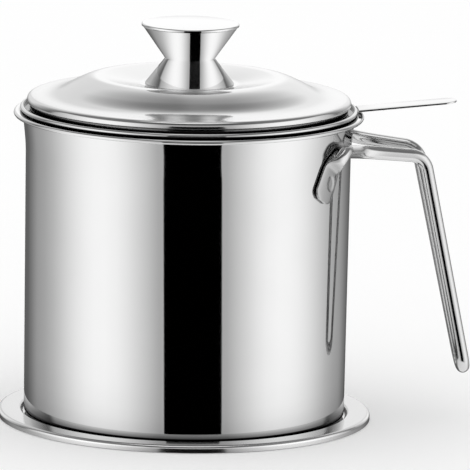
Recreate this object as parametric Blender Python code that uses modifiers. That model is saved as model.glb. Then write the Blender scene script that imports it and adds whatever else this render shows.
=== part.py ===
"""Bacon grease container: a lidded stainless steel pot with a strainer insert, standing on a tray.

Metres, +Z up. The origin is the centre of the tray's underside, and the pot's handle points along +X.
The tray carries the pot, the pot's rim carries the strainer, and a ledge inside the strainer carries the lid.
"""

import math

import bmesh
import bpy
from mathutils import Vector

# How finely the pieces are faceted, as counts
TURN_STEPS = 36
KNOB_STEPS = 28
FASTENER_STEPS = 20
FILLET_STEPS = 2
CURL_STEPS = 5
ROD_SIDES = 10
HOLE_SIDES = 8
TIP_STEPS = 4

# Angles in degrees: where shading breaks, where the rolled rims end, and the longest turn between two rod rings
SHARP_ANGLE = 35
POT_CURL_END_ANGLE = -160
CUP_CURL_END_ANGLE = -90
NECK_RING_ANGLE = 25
ROD_RING_ANGLE = 20
FOOT_START_ANGLE = 40

# Clearances between pieces, and how far a cutter runs past what it cuts
SEAT_GAP = 0.0003
SLIP_GAP = 0.0004
OVERRUN = 0.002

# Tray: a saucer with a shallow well that locates the pot and a lip turned down at its edge
TRAY_BRIM_WIDTH = 0.0090
TRAY_SHEET = 0.0008
TRAY_HEIGHT = 0.0030
TRAY_WELL_MARGIN = 0.0010
TRAY_FILLET = 0.0007
TRAY_EDGE_RADIUS = 0.0014
TRAY_LIP_CLEARANCE = 0.0003

# Pot body: drawn can, slightly tapered, with a flared neck and a rim rolled outwards
POT_RADIUS = 0.0626
POT_SHEET = 0.0006
POT_TAPER = 0.0006
POT_FOOT_RADIUS = 0.0020
POT_RIM_HEIGHT = 0.1193
POT_NECK_HEIGHT = 0.0163
POT_NECK_FLARE = 0.0013
POT_NECK_FILLET = 0.0009
POT_BEAD_RADIUS = 0.00085
POT_NECK_START_SHARE = 0.33
POT_RIM_OVERHANG = 0.0048

# Strainer cup: drawn ring that hangs in the pot's mouth, with a ledge for the lid inside its rolled rim,
# and a floor ring for the screen
CUP_SHEET = 0.0005
CUP_BEAD_RADIUS = 0.0009
CUP_RIM_OVERHANG = 0.0024
CUP_LEDGE_WIDTH = 0.0038
CUP_TAPER = 0.0014
CUP_FLOOR_WIDTH = 0.0080
CUP_LEDGE_DROP = 0.0013
CUP_DEPTH = 0.0400
CUP_FILLET = 0.0007
CUP_CORNER_RADIUS = 0.0030

# Screen: perforated plate held on the cup's floor ring by a clamp ring
SCREEN_SHEET = 0.0005
SCREEN_HOLE_RADIUS = 0.0014
SCREEN_HOLE_MARGIN = 0.0080
SCREEN_HOLE_RINGS = 5
SCREEN_RING_HEIGHT = 0.0012
SCREEN_RING_WIDTH = 0.0040
SCREEN_RING_BEVEL = 0.0004

# Strainer handle: flat strip that rises gently away from the cup's rim
STRIP_WIDTH = 0.0115
STRIP_THICKNESS = 0.0008
STRIP_LENGTH = 0.0385
STRIP_RISE = 0.0036
STRIP_TIP_RADIUS = 0.0050

# Lid: pressed crown with a dished middle for the knob, a lower shoulder, and an edge that rolls down to a skirt
LID_SHEET = 0.0006
LID_CLEARANCE = 0.0008
LID_SKIRT_DEPTH = 0.0022
LID_SKIRT_INSET = 0.0011
LID_EDGE_HEIGHT = 0.0006
LID_EDGE_WIDTH = 0.0018
LID_SHOULDER_HEIGHT = 0.0029
LID_SHOULDER_WIDTH = 0.0096
LID_KINK_HEIGHT = 0.0043
LID_FLANK_WIDTH = 0.0060
LID_FLANK_HEIGHT = 0.0073
LID_CROWN_WIDTH = 0.0105
LID_CROWN_HEIGHT = 0.0105
LID_SEAT_MARGIN = 0.0005
LID_SEAT_HEIGHT = 0.0078
LID_SHOULDER_SLOPE = -0.12
LID_KINK_SLOPE = -0.30
LID_FLANK_SLOPE = -0.50
LID_CURVE_STEPS = 3
LID_EDGE_STEPS = 3

# Knob: two flared shells that meet at a waist, a cap, and the screw and boss that hold them
KNOB_SHEET = 0.0006
KNOB_FOOT_RADIUS = 0.0171
KNOB_WAIST_RADIUS = 0.0097
KNOB_CAP_RADIUS = 0.01876
KNOB_BASE_HEIGHT = 0.0094
KNOB_HEAD_HEIGHT = 0.0122
KNOB_FOOT_ROUND = 0.0007
KNOB_CAP_THICKNESS = 0.0010
KNOB_CAP_CROWN = 0.0005
KNOB_CAP_BEVEL = 0.00025
KNOB_CAP_CROWN_SHARE = 0.75
BOSS_RADIUS = 0.0036
BOSS_FLANGE_RADIUS = 0.0062
BOSS_FLANGE_THICKNESS = 0.0014
SCREW_RADIUS = 0.0019
SCREW_LENGTH = 0.0120
SCREW_HEAD_RADIUS = 0.0038
SCREW_HEAD_HEIGHT = 0.0026
SCREW_HEAD_SLOPE = 0.0012
SCREW_CHAMFER = 0.0006
WASHER_RADIUS = 0.0056
WASHER_THICKNESS = 0.0008

# Pot handle: one rod bent to a loop, its two ends flattened into pads on the wall
ROD_RADIUS = 0.00257
ROD_STANDOFF = 0.0033
HANDLE_ROOT_OFFSET = 0.0012
HANDLE_GRIP_DEPTH = 0.0277
HANDLE_FOOT_LEAN = 0.0179
HANDLE_ROOT_DROP = 0.0123
HANDLE_KNUCKLE_DROP = 0.0153
HANDLE_LEG_LENGTH = 0.0842
HANDLE_ROOT_SPREAD = 0.0177
HANDLE_KNUCKLE_SPREAD = 0.0108
HANDLE_FOOT_SPREAD = 0.0057
HANDLE_ROOT_BEND = 0.0060
HANDLE_KNUCKLE_BEND = 0.0075
HANDLE_NECK_BEND = 0.0050
PAD_THICKNESS = 0.0017
PAD_WIDTH = 0.0114
PAD_LENGTH = 0.0160
# Neck corner and end of the wrap: arc along the wall from the handle's plane, and drop below the rim
HANDLE_NECK_ARC = 0.0345
HANDLE_NECK_DROP = 0.0092
HANDLE_WRAP_ARC = 0.0225
HANDLE_WRAP_DROP = 0.0116
# Run of the pad past the neck corner, along the wall and downwards
PAD_RUN = 0.0106
PAD_DROP = 0.0183
# How the rod flattens: share of the pad's length, share of its width, share of the way to its thickness
PAD_SHAPE_SHARES = (
    (0.00, 0.52, 1.00),
    (0.05, 0.78, 1.00),
    (0.14, 0.97, 1.00),
    (0.30, 1.00, 1.00),
    (0.52, 0.98, 1.00),
    (0.68, 0.90, 0.96),
    (0.82, 0.76, 0.76),
    (1.00, 0.58, 0.36),
    (1.20, 0.47, 0.06),
)
PAD_PATH_SHARES = (0.00, 0.05, 0.14, 0.30, 0.50, 0.66)
# Where along the pad the rod starts to rise from the wall, and how abruptly
PAD_RISE_SHARE = 0.50
PAD_RISE_POWER = 1.5
# Powers of the superellipses that are the rod's section and the pad's section
ROD_SECTION_POWER = 2.0
PAD_SECTION_POWER = 3.4
# How much of the half spread the foot's bend takes up
FOOT_BEND_SHARE = 0.90

# Radii of the pieces that fit into or over each other
TRAY_WELL_RADIUS = POT_RADIUS - POT_TAPER + TRAY_WELL_MARGIN
TRAY_RADIUS = TRAY_WELL_RADIUS + TRAY_BRIM_WIDTH
POT_RIM_RADIUS = POT_RADIUS + POT_RIM_OVERHANG
CUP_RIM_RADIUS = POT_RADIUS + CUP_RIM_OVERHANG
CUP_MOUTH_RADIUS = CUP_RIM_RADIUS - 2 * CUP_BEAD_RADIUS
CUP_WALL_RADIUS = CUP_MOUTH_RADIUS - CUP_LEDGE_WIDTH
CUP_FLOOR_RADIUS = CUP_WALL_RADIUS - CUP_TAPER
CUP_FLOOR_OPENING_RADIUS = CUP_FLOOR_RADIUS - CUP_FLOOR_WIDTH
SCREEN_RADIUS = CUP_FLOOR_RADIUS - CUP_CORNER_RADIUS - SEAT_GAP
SCREEN_HOLE_PITCH = (CUP_FLOOR_OPENING_RADIUS - SCREEN_HOLE_MARGIN) / SCREEN_HOLE_RINGS
LID_RADIUS = CUP_MOUTH_RADIUS - LID_CLEARANCE
LID_SHOULDER_RADIUS = LID_RADIUS - LID_EDGE_WIDTH
LID_KINK_RADIUS = LID_SHOULDER_RADIUS - LID_SHOULDER_WIDTH
LID_FLANK_RADIUS = LID_KINK_RADIUS - LID_FLANK_WIDTH
LID_CROWN_RADIUS = LID_FLANK_RADIUS - LID_CROWN_WIDTH
LID_SEAT_RADIUS = KNOB_FOOT_RADIUS + LID_SEAT_MARGIN

# Reaches of the two handles from the axis
STRIP_REACH = CUP_RIM_RADIUS + STRIP_LENGTH
HANDLE_ROOT_REACH = POT_RADIUS + HANDLE_ROOT_OFFSET
HANDLE_KNUCKLE_REACH = POT_RADIUS + HANDLE_GRIP_DEPTH
HANDLE_REACH = HANDLE_KNUCKLE_REACH + HANDLE_FOOT_LEAN

# Heights of the pot handle's bends
HANDLE_ROOT_Z = POT_RIM_HEIGHT - HANDLE_ROOT_DROP
HANDLE_KNUCKLE_Z = POT_RIM_HEIGHT - HANDLE_KNUCKLE_DROP
HANDLE_FOOT_Z = HANDLE_KNUCKLE_Z - HANDLE_LEG_LENGTH
HANDLE_NECK_Z = POT_RIM_HEIGHT - HANDLE_NECK_DROP
HANDLE_WRAP_Z = POT_RIM_HEIGHT - HANDLE_WRAP_DROP

# Heights where the pieces stand on each other
POT_BASE_Z = TRAY_SHEET + SEAT_GAP
CUP_RIM_Z = POT_RIM_HEIGHT + SEAT_GAP + 2 * CUP_BEAD_RADIUS
CUP_LEDGE_Z = CUP_RIM_Z - CUP_LEDGE_DROP
CUP_FLOOR_Z = CUP_RIM_Z - CUP_DEPTH
SCREEN_Z = CUP_FLOOR_Z + SEAT_GAP
SCREEN_RING_Z = SCREEN_Z + SCREEN_SHEET + SEAT_GAP
LID_SKIRT_Z = CUP_LEDGE_Z + SEAT_GAP
LID_EDGE_Z = LID_SKIRT_Z + LID_SKIRT_DEPTH
LID_SEAT_Z = LID_EDGE_Z + LID_SEAT_HEIGHT
KNOB_FOOT_Z = LID_SEAT_Z + SEAT_GAP
KNOB_WAIST_Z = KNOB_FOOT_Z + KNOB_BASE_HEIGHT
KNOB_HEAD_Z = KNOB_WAIST_Z + SEAT_GAP
KNOB_CAP_Z = KNOB_HEAD_Z + KNOB_HEAD_HEIGHT + SEAT_GAP
BOSS_FLANGE_Z = KNOB_HEAD_Z + KNOB_SHEET + SEAT_GAP
BOSS_TOP_Z = BOSS_FLANGE_Z + BOSS_FLANGE_THICKNESS
WASHER_TOP_Z = LID_SEAT_Z - LID_SHEET - SEAT_GAP
SCREW_HEAD_TOP_Z = WASHER_TOP_Z - WASHER_THICKNESS - SEAT_GAP

# Looks of each kind of surface
POLISHED = ((0.82, 0.82, 0.83), 1.0, 0.06)
SATIN = ((0.74, 0.74, 0.75), 1.0, 0.28)
ZINC = ((0.62, 0.63, 0.65), 1.0, 0.38)


def clear_scene():
    for old in list(bpy.data.objects):
        bpy.data.objects.remove(old)


def new_collection(name, hidden=False):
    collection = bpy.data.collections.new(name)
    bpy.context.scene.collection.children.link(collection)
    collection.hide_render = hidden
    return collection


def material(name, look):
    colour, metallic, roughness = look
    made = bpy.data.materials.new(name)
    made.use_nodes = True
    shader = made.node_tree.nodes["Principled BSDF"]
    shader.inputs["Base Color"].default_value = (*colour, 1.0)
    shader.inputs["Metallic"].default_value = metallic
    shader.inputs["Roughness"].default_value = roughness
    made.diffuse_color = (*colour, 1.0)
    return made


def add_object(name, mesh, collection, look):
    obj = bpy.data.objects.new(name, mesh)
    collection.objects.link(obj)
    if look:
        mesh.materials.append(material(name + "_steel", look))
    mesh.shade_smooth()
    mesh.set_sharp_from_angle(angle=math.radians(SHARP_ANGLE))
    return obj


def arc(centre, radius, start, end, steps):
    """Points of an arc in the (r, z) plane, from one angle to another, in degrees."""
    points = []
    for i in range(steps + 1):
        angle = math.radians(start + (end - start) * i / steps)
        points.append((centre[0] + radius * math.cos(angle), centre[1] + radius * math.sin(angle)))
    return points


def turned(name, profile, collection, look, steps=TURN_STEPS, closed=False, sheet=0.0):
    """A profile of (r, z) points turned about Z. With a sheet thickness it is an open surface made solid."""
    mesh = bpy.data.meshes.new(name)
    edges = [(i, i + 1) for i in range(len(profile) - 1)]
    if closed:
        edges.append((len(profile) - 1, 0))
    mesh.from_pydata([(r, 0.0, z) for r, z in profile], edges, [])
    obj = add_object(name, mesh, collection, look)
    screw = obj.modifiers.new("turn", "SCREW")
    screw.axis = "Z"
    screw.steps = steps
    screw.render_steps = steps
    screw.use_merge_vertices = True
    screw.merge_threshold = 0.00001
    screw.use_smooth_shade = True
    if sheet:
        shell = obj.modifiers.new("sheet", "SOLIDIFY")
        shell.thickness = sheet
        shell.offset = -1.0
        shell.use_even_offset = True
    return obj


def subtract(obj, cutter):
    cut = obj.modifiers.new("cut_" + cutter.name, "BOOLEAN")
    cut.operation = "DIFFERENCE"
    cut.solver = "EXACT"
    cut.object = cutter
    return cut


def make_tray(parts):
    floor_z = TRAY_SHEET
    profile = [(0.0, floor_z)]
    profile += arc((TRAY_WELL_RADIUS - TRAY_FILLET, floor_z + TRAY_FILLET), TRAY_FILLET, -90, 0, FILLET_STEPS)
    profile += arc((TRAY_WELL_RADIUS + TRAY_FILLET, TRAY_HEIGHT - TRAY_FILLET), TRAY_FILLET, 180, 90, FILLET_STEPS)
    edge_centre = (TRAY_RADIUS - TRAY_EDGE_RADIUS, TRAY_HEIGHT - TRAY_EDGE_RADIUS)
    profile += arc(edge_centre, TRAY_EDGE_RADIUS, 90, 0, FILLET_STEPS + 1)
    profile.append((TRAY_RADIUS, TRAY_LIP_CLEARANCE))
    return turned("tray", profile, parts, POLISHED, sheet=TRAY_SHEET)


def pot_wall():
    """Points of the wall's inner side, from the foot's corner up to the rim's fillet."""
    corner = POT_FOOT_RADIUS - POT_SHEET
    neck_z = POT_RIM_HEIGHT - POT_NECK_HEIGHT
    inner_radius = POT_RADIUS - POT_SHEET
    return [
        (inner_radius - POT_TAPER, POT_BASE_Z + POT_SHEET + corner),
        (inner_radius, neck_z),
        (inner_radius + POT_NECK_FLARE * POT_NECK_START_SHARE, neck_z + POT_NECK_HEIGHT * POT_NECK_START_SHARE),
        (inner_radius + POT_NECK_FLARE, POT_RIM_HEIGHT - POT_NECK_FILLET),
    ]


def wall_outer_radius(z):
    knots = pot_wall()
    for low, high in zip(knots, knots[1:]):
        if z <= high[1]:
            break
    return low[0] + (high[0] - low[0]) * (z - low[1]) / (high[1] - low[1]) + POT_SHEET


def make_pot_body(parts):
    floor_z = POT_BASE_Z + POT_SHEET
    corner = POT_FOOT_RADIUS - POT_SHEET
    wall = pot_wall()
    profile = [(0.0, floor_z)]
    profile += arc((wall[0][0] - corner, floor_z + corner), corner, -90, 0, FILLET_STEPS)
    profile += wall[1:-1]
    fillet_centre = (wall[-1][0] + POT_NECK_FILLET, POT_RIM_HEIGHT - POT_NECK_FILLET)
    profile += arc(fillet_centre, POT_NECK_FILLET, 180, 90, FILLET_STEPS)
    bead_centre = (POT_RIM_RADIUS - POT_BEAD_RADIUS, POT_RIM_HEIGHT - POT_BEAD_RADIUS)
    profile += arc(bead_centre, POT_BEAD_RADIUS, 90, POT_CURL_END_ANGLE, CURL_STEPS)
    return turned("pot_body", profile, parts, POLISHED, sheet=POT_SHEET)


def make_strainer_cup(parts):
    bead_centre_z = CUP_RIM_Z - CUP_BEAD_RADIUS
    bead_centre = (CUP_RIM_RADIUS - CUP_BEAD_RADIUS, bead_centre_z)
    floor_corner = CUP_CORNER_RADIUS
    profile = [(CUP_FLOOR_OPENING_RADIUS, CUP_FLOOR_Z)]
    profile += arc((CUP_FLOOR_RADIUS - floor_corner, CUP_FLOOR_Z + floor_corner), floor_corner, -90, 0, FILLET_STEPS)
    profile += arc((CUP_WALL_RADIUS + CUP_FILLET, CUP_LEDGE_Z - CUP_FILLET), CUP_FILLET, 180, 90, FILLET_STEPS)
    profile.append((CUP_MOUTH_RADIUS, CUP_LEDGE_Z))
    profile += arc(bead_centre, CUP_BEAD_RADIUS, 180, CUP_CURL_END_ANGLE, CURL_STEPS)
    return turned("strainer_cup", profile, parts, POLISHED, sheet=CUP_SHEET)


def screen_hole_places():
    """Centres of the holes: one in the middle, and rings that gain six holes each."""
    places = [(0.0, 0.0)]
    for ring in range(1, SCREEN_HOLE_RINGS + 1):
        count = 6 * ring
        for i in range(count):
            angle = 2 * math.pi * (i + 0.5 * (ring % 2)) / count
            radius = ring * SCREEN_HOLE_PITCH
            places.append((radius * math.cos(angle), radius * math.sin(angle)))
    return places


def make_strainer_screen(parts, cutters):
    top_z = SCREEN_Z + SCREEN_SHEET
    profile = [(0.0, top_z), (SCREEN_RADIUS, top_z), (SCREEN_RADIUS, SCREEN_Z), (0.0, SCREEN_Z)]
    screen = turned("strainer_screen", profile, parts, SATIN)
    punches = bmesh.new()
    for x, y in screen_hole_places():
        made = bmesh.ops.create_cone(
            punches,
            cap_ends=True,
            segments=HOLE_SIDES,
            radius1=SCREEN_HOLE_RADIUS,
            radius2=SCREEN_HOLE_RADIUS,
            depth=SCREEN_SHEET + 2 * OVERRUN,
        )
        centre = Vector((x, y, SCREEN_Z + SCREEN_SHEET / 2))
        bmesh.ops.translate(punches, verts=made["verts"], vec=centre)
    mesh = bpy.data.meshes.new("screen_punches")
    punches.to_mesh(mesh)
    punches.free()
    cutter = add_object("screen_punches", mesh, cutters, None)
    cutter.display_type = "WIRE"
    cutter.hide_render = True
    subtract(screen, cutter)
    return screen


def make_screen_ring(parts):
    outer = SCREEN_RADIUS
    inner = outer - SCREEN_RING_WIDTH
    top_z = SCREEN_RING_Z + SCREEN_RING_HEIGHT
    profile = [
        (inner + SCREEN_RING_BEVEL, top_z),
        (outer - SCREEN_RING_BEVEL, top_z),
        (outer, top_z - SCREEN_RING_BEVEL),
        (outer, SCREEN_RING_Z),
        (inner, SCREEN_RING_Z),
        (inner, top_z - SCREEN_RING_BEVEL),
    ]
    return turned("screen_ring", profile, parts, SATIN, closed=True)


def make_strainer_handle(parts, cutters):
    """A flat strip on a gentle slope, rounded at its tip and hollowed at its root to fit the cup's round rim."""
    root = CUP_RIM_RADIUS * math.cos(math.asin(STRIP_WIDTH / (2 * CUP_RIM_RADIUS)))
    start = root - OVERRUN
    half = STRIP_WIDTH / 2
    outline = [(start, -half)]
    outline += arc((STRIP_REACH - STRIP_TIP_RADIUS, -half + STRIP_TIP_RADIUS), STRIP_TIP_RADIUS, -90, 0, TIP_STEPS)
    outline += arc((STRIP_REACH - STRIP_TIP_RADIUS, half - STRIP_TIP_RADIUS), STRIP_TIP_RADIUS, 0, 90, TIP_STEPS)
    outline.append((start, half))
    strip = bmesh.new()
    face = strip.faces.new([strip.verts.new((x, y, 0.0)) for x, y in outline])
    grown = bmesh.ops.extrude_face_region(strip, geom=[face])
    lifted = [item for item in grown["geom"] if isinstance(item, bmesh.types.BMVert)]
    bmesh.ops.translate(strip, verts=lifted, vec=(0.0, 0.0, STRIP_THICKNESS))
    bmesh.ops.recalc_face_normals(strip, faces=strip.faces)
    slope = STRIP_RISE / (STRIP_REACH - root)
    base_z = CUP_RIM_Z - CUP_BEAD_RADIUS - STRIP_THICKNESS / 2
    for vert in strip.verts:
        vert.co.z += base_z + slope * (vert.co.x - root)
    mesh = bpy.data.meshes.new("strainer_handle")
    strip.to_mesh(mesh)
    strip.free()
    handle = add_object("strainer_handle", mesh, parts, POLISHED)
    rim_radius = CUP_RIM_RADIUS + SEAT_GAP
    low_z = base_z - OVERRUN
    high_z = base_z + STRIP_THICKNESS + OVERRUN
    profile = [(0.0, high_z), (rim_radius, high_z), (rim_radius, low_z), (0.0, low_z)]
    cutter = turned("strip_root_cutter", profile, cutters, None)
    cutter.display_type = "WIRE"
    cutter.hide_render = True
    subtract(handle, cutter)
    return handle


def smooth_run(start, end, start_slope, end_slope, steps):
    """Points after the start of a cubic curve in the (r, z) plane with the given slopes at its ends."""
    span = end[0] - start[0]
    points = []
    for i in range(1, steps + 1):
        share = i / steps
        rest = 1 - share
        z = start[1] * rest**2 * (1 + 2 * share) + end[1] * share**2 * (3 - 2 * share)
        z += span * share * rest * (start_slope * rest - end_slope * share)
        points.append((start[0] + span * share, z))
    return points


def rolled_run(start, corner, end, steps):
    """Points after the start of a curve in the (r, z) plane that heads for a corner and leaves it behind."""
    points = []
    for i in range(1, steps + 1):
        share = i / steps
        rest = 1 - share
        r = start[0] * rest**2 + 2 * corner[0] * rest * share + end[0] * share**2
        z = start[1] * rest**2 + 2 * corner[1] * rest * share + end[1] * share**2
        points.append((r, z))
    return points


def make_lid_shell(parts):
    hole = SCREW_RADIUS + SLIP_GAP
    skirt_radius = LID_RADIUS - LID_SKIRT_INSET
    seat = (LID_SEAT_RADIUS, LID_SEAT_Z)
    crown = (LID_CROWN_RADIUS, LID_EDGE_Z + LID_CROWN_HEIGHT)
    flank = (LID_FLANK_RADIUS, LID_EDGE_Z + LID_FLANK_HEIGHT)
    kink = (LID_KINK_RADIUS, LID_EDGE_Z + LID_KINK_HEIGHT)
    shoulder = (LID_SHOULDER_RADIUS, LID_EDGE_Z + LID_SHOULDER_HEIGHT)
    profile = [(hole, LID_SEAT_Z), seat]
    profile += smooth_run(seat, crown, 0.0, 0.0, LID_CURVE_STEPS + 1)
    profile += smooth_run(crown, flank, 0.0, LID_FLANK_SLOPE, LID_CURVE_STEPS)
    profile += smooth_run(flank, kink, LID_FLANK_SLOPE, LID_KINK_SLOPE, 1)
    profile += smooth_run(kink, shoulder, LID_KINK_SLOPE, LID_SHOULDER_SLOPE, 1)
    corner = (LID_RADIUS, shoulder[1] + LID_SHOULDER_SLOPE * LID_EDGE_WIDTH)
    profile += rolled_run(shoulder, corner, (LID_RADIUS, LID_EDGE_Z + LID_EDGE_HEIGHT), LID_EDGE_STEPS)
    profile.append((LID_RADIUS, LID_EDGE_Z))
    profile.append((skirt_radius, LID_EDGE_Z))
    profile.append((skirt_radius, LID_SKIRT_Z))
    return turned("lid_shell", profile, parts, POLISHED, sheet=LID_SHEET)


def make_knob(parts):
    bore = BOSS_RADIUS + SLIP_GAP
    foot_centre = (KNOB_FOOT_RADIUS - KNOB_FOOT_ROUND, KNOB_FOOT_Z + KNOB_FOOT_ROUND)
    profile = [(bore, KNOB_WAIST_Z), (KNOB_WAIST_RADIUS, KNOB_WAIST_Z)]
    profile += arc(foot_centre, KNOB_FOOT_ROUND, FOOT_START_ANGLE, -90, FILLET_STEPS + 1)
    base = turned("knob_base", profile, parts, POLISHED, steps=KNOB_STEPS, sheet=KNOB_SHEET)

    head_rim_z = KNOB_HEAD_Z + KNOB_HEAD_HEIGHT
    head_rim_radius = KNOB_CAP_RADIUS - KNOB_CAP_BEVEL
    slant = math.hypot(head_rim_radius - KNOB_WAIST_RADIUS, KNOB_HEAD_HEIGHT)
    across = KNOB_SHEET * slant / KNOB_HEAD_HEIGHT
    inner_waist = KNOB_WAIST_RADIUS - across + KNOB_SHEET * (head_rim_radius - KNOB_WAIST_RADIUS) / KNOB_HEAD_HEIGHT
    profile = [
        (head_rim_radius - across, head_rim_z),
        (head_rim_radius, head_rim_z),
        (KNOB_WAIST_RADIUS, KNOB_HEAD_Z),
        (bore, KNOB_HEAD_Z),
        (bore, KNOB_HEAD_Z + KNOB_SHEET),
        (inner_waist, KNOB_HEAD_Z + KNOB_SHEET),
    ]
    head = turned("knob_head", profile, parts, POLISHED, steps=KNOB_STEPS, closed=True)

    cap_top_z = KNOB_CAP_Z + KNOB_CAP_THICKNESS
    profile = [
        (0.0, cap_top_z + KNOB_CAP_CROWN),
        (KNOB_CAP_RADIUS / 2, cap_top_z + KNOB_CAP_CROWN_SHARE * KNOB_CAP_CROWN),
        (KNOB_CAP_RADIUS - KNOB_CAP_BEVEL, cap_top_z),
        (KNOB_CAP_RADIUS, cap_top_z - KNOB_CAP_BEVEL),
        (KNOB_CAP_RADIUS, KNOB_CAP_Z),
        (0.0, KNOB_CAP_Z),
    ]
    cap = turned("knob_cap", profile, parts, POLISHED, steps=KNOB_STEPS)
    return [base, head, cap]


def make_knob_fixings(parts):
    """The boss hangs by its flange in the knob's head, and the screw comes up into it through lid and washer."""
    thread = SCREW_RADIUS + SLIP_GAP
    boss_low_z = LID_SEAT_Z + SEAT_GAP
    profile = [
        (thread, BOSS_TOP_Z),
        (BOSS_FLANGE_RADIUS, BOSS_TOP_Z),
        (BOSS_FLANGE_RADIUS, BOSS_FLANGE_Z),
        (BOSS_RADIUS, BOSS_FLANGE_Z),
        (BOSS_RADIUS, boss_low_z),
        (thread, boss_low_z),
    ]
    boss = turned("knob_boss", profile, parts, ZINC, steps=FASTENER_STEPS, closed=True)

    profile = [
        (thread, WASHER_TOP_Z),
        (WASHER_RADIUS, WASHER_TOP_Z),
        (WASHER_RADIUS, WASHER_TOP_Z - WASHER_THICKNESS),
        (thread, WASHER_TOP_Z - WASHER_THICKNESS),
    ]
    washer = turned("screw_washer", profile, parts, ZINC, steps=FASTENER_STEPS, closed=True)

    tip_z = SCREW_HEAD_TOP_Z + SCREW_LENGTH
    head_low_z = SCREW_HEAD_TOP_Z - SCREW_HEAD_HEIGHT
    profile = [
        (0.0, tip_z),
        (SCREW_RADIUS - SCREW_CHAMFER, tip_z),
        (SCREW_RADIUS, tip_z - SCREW_CHAMFER),
        (SCREW_RADIUS, SCREW_HEAD_TOP_Z),
        (SCREW_HEAD_RADIUS, SCREW_HEAD_TOP_Z),
        (SCREW_HEAD_RADIUS, head_low_z + SCREW_HEAD_SLOPE),
        (SCREW_HEAD_RADIUS - SCREW_HEAD_SLOPE, head_low_z),
        (0.0, head_low_z),
    ]
    screw = turned("knob_screw", profile, parts, ZINC, steps=FASTENER_STEPS)
    return [boss, washer, screw]


def rounded_path(corners, bends, step):
    """Points along straight runs joined by arcs of the given bend radii, one for each inner corner."""
    points = [corners[0]]
    for i in range(1, len(corners) - 1):
        before = (corners[i - 1] - corners[i]).normalized()
        after = (corners[i + 1] - corners[i]).normalized()
        opening = before.angle(after)
        reach = bends[i - 1] / math.tan(opening / 2)
        bisector = (before + after).normalized()
        centre = corners[i] + bisector * (bends[i - 1] / math.sin(opening / 2))
        from_centre = corners[i] + before * reach - centre
        turn = math.pi - opening
        steps = max(2, math.ceil(math.degrees(turn) / step))
        axis = from_centre.cross(corners[i] + after * reach - centre).normalized()
        for k in range(steps + 1):
            cosine = math.cos(turn * k / steps)
            sine = math.sin(turn * k / steps)
            points.append(centre + from_centre * cosine + axis.cross(from_centre) * sine)
    points.append(corners[-1])
    return points


def wall_point(along, z, standoff):
    """A point at a distance round the pot's wall from the handle's plane, on the near side, clear of the wall."""
    radius = wall_outer_radius(z)
    angle = -along / POT_RADIUS
    return Vector(((radius + standoff) * math.cos(angle), (radius + standoff) * math.sin(angle), z))


def shape_at(distance):
    """Half-width, half-thickness, bulge and flatness of the rod's section at a distance from the pad's tip."""
    share = distance / PAD_LENGTH
    rows = PAD_SHAPE_SHARES
    if share >= rows[-1][0]:
        return ROD_RADIUS, ROD_RADIUS, ROD_SECTION_POWER, 0.0
    for low, high in zip(rows, rows[1:]):
        if share <= high[0]:
            break
    part = (share - low[0]) / (high[0] - low[0])
    width_share = low[1] + (high[1] - low[1]) * part
    flat = low[2] + (high[2] - low[2]) * part
    half_thickness = ROD_RADIUS + (PAD_THICKNESS / 2 - ROD_RADIUS) * flat
    bulge = ROD_SECTION_POWER + (PAD_SECTION_POWER - ROD_SECTION_POWER) * flat
    return max(ROD_RADIUS * (1 - flat), PAD_WIDTH / 2 * width_share), half_thickness, bulge, flat


def handle_half_path():
    """Centre line of the handle's near half: pad, neck, wrap, arm, knuckle, leg, and half of the foot's bend."""
    pad_standoff = SEAT_GAP + PAD_THICKNESS / 2
    neck = Vector((HANDLE_NECK_ARC, HANDLE_NECK_Z, 0.0))
    tip = neck + Vector((PAD_RUN, -PAD_DROP, 0.0))
    wrap = Vector((HANDLE_WRAP_ARC, HANDLE_WRAP_Z, 0.0))
    flat = [tip + (neck - tip) * share * PAD_LENGTH / (neck - tip).length for share in PAD_PATH_SHARES]
    turn = rounded_path([tip, neck, wrap], [HANDLE_NECK_BEND], NECK_RING_ANGLE)
    flat += turn[1:-1]
    flat.append((turn[-2] + wrap) / 2)
    points = []
    for spot in flat:
        share = min(1.0, (spot - tip).length / PAD_LENGTH)
        lift = max(0.0, (share - PAD_RISE_SHARE) / (1 - PAD_RISE_SHARE)) ** PAD_RISE_POWER
        points.append(wall_point(spot.x, spot.y, pad_standoff + (ROD_STANDOFF - pad_standoff) * lift))
    corners = [
        wall_point(wrap.x, wrap.y, ROD_STANDOFF),
        Vector((HANDLE_ROOT_REACH, -HANDLE_ROOT_SPREAD, HANDLE_ROOT_Z)),
        Vector((HANDLE_KNUCKLE_REACH, -HANDLE_KNUCKLE_SPREAD, HANDLE_KNUCKLE_Z)),
        Vector((HANDLE_REACH, -HANDLE_FOOT_SPREAD, HANDLE_FOOT_Z)),
        Vector((HANDLE_REACH, 0.0, HANDLE_FOOT_Z)),
    ]
    bends = [HANDLE_ROOT_BEND, HANDLE_KNUCKLE_BEND, HANDLE_FOOT_SPREAD * FOOT_BEND_SHARE]
    return points + rounded_path(corners, bends, ROD_RING_ANGLE)


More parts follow.
